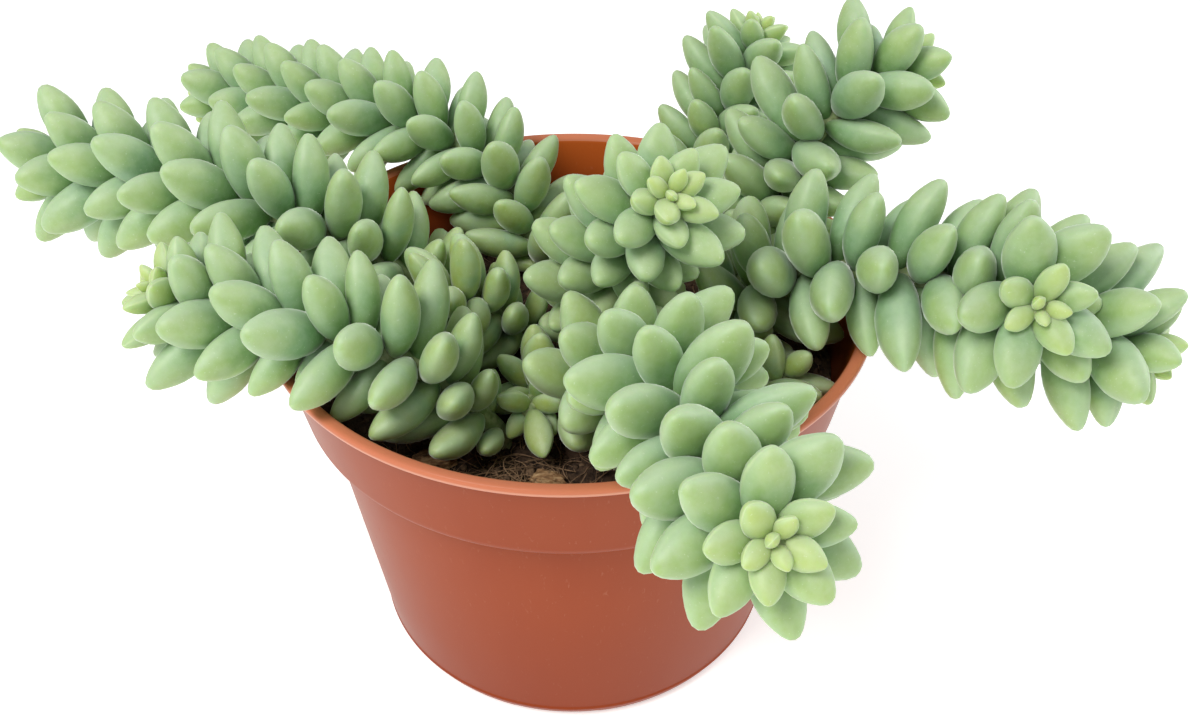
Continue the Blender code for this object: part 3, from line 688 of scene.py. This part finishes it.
def near_pairs(centre, radius, owner):
    """Pairs of balls of different leaves that could come to touch."""
    first, second = [], []
    for n in range(len(centre) - 1):
        away = np.linalg.norm(centre[n + 1:] - centre[n], axis=1)
        near = (away < radius[n + 1:] + radius[n] + NEAR) & (owner[n + 1:] != owner[n])
        found = np.flatnonzero(near) + n + 1
        first.append(np.full(len(found), n))
        second.append(found)
    return np.concatenate(first), np.concatenate(second)


def near_cores(centre, radius, owner, stem, cores):
    """Balls that could touch the core of another stem, each with that point of the core."""
    ball, core = [], []
    for n, place in enumerate(cores):
        away = np.linalg.norm(centre - place[:3], axis=1)
        found = np.flatnonzero((away < radius + CORE_RADIUS + NEAR) & (stem[owner] != place[3]))
        ball.append(found)
        core.append(np.full(len(found), n))
    return np.concatenate(ball), np.concatenate(core)


def ease_apart(rows):
    """Turns each leaf about its root until it clears its neighbours, and shrinks one that still can't."""
    root, way, size, stem = rows[:, :3], rows[:, 3:6].copy(), rows[:, 6].copy(), rows[:, 7].astype(int)
    rest = way.copy()
    cores = []
    for number, (routes, *_) in enumerate(STEMS.values()):
        for points in routes:
            line = smooth_route(points, CORE_RADIUS)
            cores.append(np.column_stack([line, np.full(len(line), number)]))
    cores = np.vstack(cores)
    owner = np.repeat(np.arange(len(rows)), len(TOUCH_AT))
    lever_at = np.tile(TOUCH_AT, len(rows))
    for turn in range(EASE_TURNS):
        centre = (root[:, None] + way[:, None] * (size[:, None] * TOUCH_AT)[..., None]).reshape(-1, 3)
        radius = (HALF_WIDTH * size[:, None] * TOUCH_WIDTH).ravel()
        if turn % LOOK_EVERY == 0:
            first, second = near_pairs(centre, radius, owner)
            ball, core = near_cores(centre, radius, owner, stem, cores)
        move = np.zeros((len(centre), 3))
        strange = np.zeros(len(rows), bool)
        apart = centre[first] - centre[second]
        distance = np.linalg.norm(apart, axis=1) + NO_LENGTH
        same = stem[owner[first]] == stem[owner[second]]
        touch = radius[first] + radius[second]
        short = np.maximum(np.where(same, PRESS * touch, touch + CLEAR) - distance, 0)
        push = apart * (short / distance / 2)[:, None]
        np.add.at(move, first, push)
        np.add.at(move, second, -push)
        crossing = ~same & (short > BARELY)
        strange[owner[first][crossing]] = True
        strange[owner[second][crossing]] = True
        apart = centre[ball] - cores[core, :3]
        distance = np.linalg.norm(apart, axis=1) + NO_LENGTH
        short = np.maximum(radius[ball] + CORE_RADIUS + CLEAR - distance, 0)
        np.add.at(move, ball, apart * (short / distance)[:, None])
        strange[owner[ball][short > BARELY]] = True
        wall = off_the_pot(centre, radius)
        move += wall
        strange[owner[np.linalg.norm(wall, axis=1) > BARELY]] = True
        lever = (size[owner] * lever_at)[:, None]
        turned_by = np.zeros_like(way)
        np.add.at(turned_by, owner, move / lever * lever_at[:, None])
        way = unit(way + EASE * turned_by + SPRING * (rest - way))
        if turn >= SHRINK_FROM:
            size[strange] *= SHRINK
    kept = ~strange & (size > SMALLEST * rows[:, 6])
    rows = rows[kept]
    rows[:, 3:6], rows[:, 6] = way[kept], size[kept]
    return rows


leaves = ease_apart(grow_leaves())

# ---------------------------------------------------------------- leafy stems
# Each stem is a slim fleshy core set round with plump leaves: narrow at the root, fullest past the middle
# and blunt, with a tiny point. A powdery bloom pales them, a painted highlight pales their upward faces,
# painted shade darkens them towards their roots, and they turn yellow-green towards the tip.

flesh = Finish(
    "leaf_flesh", ior=1.42, specular_ior_level=0.65, subsurface_weight=0.35, subsurface_scale=2.6 * MM,
    sheen_weight=0.75, sheen_roughness=0.28,
)
flesh.wear(subsurface_radius=(0.62, 1.0, 0.34), sheen_tint=(0.95, 1.0, 0.95))
tip, grown, own = (flesh.mark(name) for name in ("tip", "grown", "own"))
shade, old, rim = (flesh.mark(name) for name in ("shade", "old", "rim"))
upward = flesh.add("SeparateXYZ", {}, {0: flesh.add("NewGeometry", out="Normal")}, 2)
patchy = flesh.grain(4.5 * MM, 2.0)
cloudy = flesh.grain(1.5 * MM, 3.0, 0.6)
powder = flesh.grain(0.30 * MM, 3.0, 0.7)
speck = flesh.band(flesh.grain(0.42 * MM, 2.0, 0.6), 0.66, 0.74)
green = flesh.blend(patchy, (0.180, 0.345, 0.105), (0.250, 0.430, 0.135))
green = flesh.blend(own * 0.9, green, (0.175, 0.355, 0.185))
# Each leaf turns paler yellow-green towards its tip.
tip_yellowing = flesh.band(tip + (patchy - 0.5) * 0.5, 0.40, 0.95)
green = flesh.blend(tip_yellowing * 0.60, green, (0.470, 0.600, 0.220))
green = flesh.blend((1 - flesh.band(grown, 0.1, 0.8)) * 0.75, green, (0.520, 0.630, 0.170))
# Painted shade: each grown leaf is darker towards its root, where it sits among the others.
green = flesh.blend((1 - flesh.band(tip, 0.25, 0.62)) * grown * 0.50, green, (0.105, 0.265, 0.055))
green = flesh.blend(old * flesh.band(patchy, 0.3, 0.6), green, (0.330, 0.430, 0.085))
# The bloom pales the leaves in clouds and fine powder; the faces that turn upwards are paled further as a
# painted highlight.
bloom_and_top_highlight = flesh.band(cloudy, 0.30, 0.70) * 0.11 + powder * 0.08 + flesh.band(upward, 0.3, 1.0) * 0.20
green = flesh.blend(bloom_and_top_highlight, green, (0.680, 0.780, 0.640))
green = flesh.blend(speck * 0.28, green, (0.800, 0.840, 0.700))
green = flesh.blend(shade * 0.60, green, (0.090, 0.200, 0.030))
# The side margins are paler: a thin pale margin, with painted sheen and painted glow of light through it,
# most of all on young leaves.
green = flesh.blend(flesh.band(rim, 0.15, 1.0) * 0.30, green, (0.430, 0.590, 0.440))
green = flesh.blend(flesh.band(rim, 0.90, 1.0) * (1 - grown * 0.9) * 0.5, green, (0.760, 0.850, 0.520))
dimples = flesh.relief(cloudy, 0.10 * MM, 0.5, flesh.relief(patchy, 0.5 * MM, 0.5))
flesh.wear(
    base_color=green,
    roughness=0.41 + cloudy * 0.16,
    normal=flesh.relief(powder, 0.030 * MM, 0.5, dimples),
)

stalk = Finish("stem_core", roughness=0.6, subsurface_weight=0.1, subsurface_scale=1 * MM)
scars = stalk.grain(1.3 * MM, 3.0)
stalk.wear(
    base_color=stalk.blend(stalk.band(scars, 0.4, 0.65), (0.19, 0.26, 0.10), (0.34, 0.40, 0.20)),
    normal=stalk.relief(scars, 0.3 * MM, 0.7),
)

LEAF_SEGMENTS, LEAF_RINGS = 20, 16
UPPER_HALF, LOWER_HALF = 0.70, 0.88  # how thick the leaf is above and below, of its half width
POINT_FROM, POINT_LENGTH = 0.86, 0.060
SHADED_TO, SHADED_SHARE = 0.34, 0.8
CORE_STEP, CORE_SIDES, CORE_DEPTH = 1.6 * MM, 12, 7 * MM
template = bmesh.new()
bmesh.ops.create_uvsphere(template, u_segments=LEAF_SEGMENTS, v_segments=LEAF_RINGS, radius=1)
ball = np.array([vertex.co for vertex in template.verts])
leaf_template = bpy.data.meshes.new("leaf")
template.to_mesh(leaf_template)
template.free()
round_way = np.arctan2(ball[:, 1], ball[:, 0])
along_leaf = ((1 + ball[:, 2]) / 2).clip(0, 1)
tale = np.random.default_rng(23)


def leaf_points(root, way, size, grown, ahead):
    """The template ball's points, moved to make one leaf. Its upper side faces the stem's tip."""
    across = unit(np.cross(way, ahead))
    upper = np.cross(across, way)
    full = 0.66 - 0.04 * grown + tale.normal(0, 0.02)
    blunt = 0.56 - 0.09 * grown + tale.normal(0, 0.015)
    fullest = full / (full + blunt)
    profile = along_leaf**full * (1 - along_leaf) ** blunt / (fullest**full * (1 - fullest) ** blunt)
    half = HALF_WIDTH * size * (1.26 - 0.26 * grown) * (1 + tale.normal(0, 0.03))
    cosine, sine = np.cos(round_way), np.sin(round_way)
    lens = np.where(sine > 0, UPPER_HALF, LOWER_HALF) * (1 + tale.normal(0, 0.03))
    ridge = np.abs(sine) ** (0.34 - 0.27 * grown)
    wave = 1 + 0.018 * np.sin(2 * round_way + tale.uniform(0, 6) + 5 * along_leaf)
    point = np.clip((along_leaf - POINT_FROM) / (1 - POINT_FROM), 0, 1) ** 2
    length = size * (along_leaf + POINT_LENGTH * point)
    bow = size * (0.075 * along_leaf**2 - 0.045 * along_leaf) + tale.normal(0, 0.012) * size * along_leaf**2
    made = root + way * length[:, None]
    made = made + across * (half * profile * cosine * wave)[:, None]
    return made + upper * (half * profile * sine * ridge * lens * wave + bow)[:, None]


for number, (name, (routes, leaf, wind, start)) in enumerate(STEMS.items()):
    rows = leaves[leaves[:, 7] == number]
    bm = bmesh.new()
    for _ in rows:
        bm.from_mesh(leaf_template)
    stem = piece(name.replace("stem", "leaves"), bm, flesh, [name])
    places = np.vstack([leaf_points(row[:3], row[3:6], row[6], row[8], row[9:12]) for row in rows])
    stem.data.vertices.foreach_set("co", places.astype(np.float32).ravel())
    each = len(ball)
    values = {
        "tip": np.tile(along_leaf, len(rows)),
        "grown": np.repeat(rows[:, 8], each),
        "old": np.repeat(rows[:, 12], each),
        "own": np.repeat(np.clip(tale.normal(0.35, 0.28, len(rows)), 0, 1), each),
        "rim": np.tile(np.cos(round_way) ** 2 * np.clip(along_leaf * 2, 0, 1), len(rows)),
        "shade": np.clip(1 - np.tile(along_leaf, len(rows)) / SHADED_TO, 0, 1) * SHADED_SHARE,
    }
    for key, value in values.items():
        marks = stem.data.attributes.new(key, "FLOAT", "POINT")
        marks.data.foreach_set("value", value.astype(np.float32))
    stem.data.update()

    # The core runs from below the soil to the tip, and thins towards it
    bm = bmesh.new()
    for points in routes:
        line = smooth_route(points, CORE_STEP)
        if points is routes[0]:
            line = np.vstack([(*line[0][:2], SOIL_HEIGHT - CORE_DEPTH), line])
        run, side = carried_frames(line)
        frames = []
        for n, place in enumerate(line):
            thick = CORE_RADIUS * (0.94 - 0.45 * (n / len(line)) ** 3)
            turn = Matrix((side[n], np.cross(run[n], side[n]), run[n])).transposed()
            frames.append(Matrix.Translation(place) @ turn.to_4x4() @ Matrix.Scale(thick, 4))
        foot = bmesh.ops.create_circle(bm, cap_ends=True, segments=CORE_SIDES, radius=1, matrix=frames[0])
        end = foot["verts"][0].link_faces[0]
        for before, after in zip(frames, frames[1:]):
            end = drawn_out(bm, end)
            bmesh.ops.transform(bm, matrix=after @ before.inverted(), verts=end.verts)
    bmesh.ops.recalc_face_normals(bm, faces=bm.faces)
    piece(name.replace("stem", "core"), bm, stalk, [name])
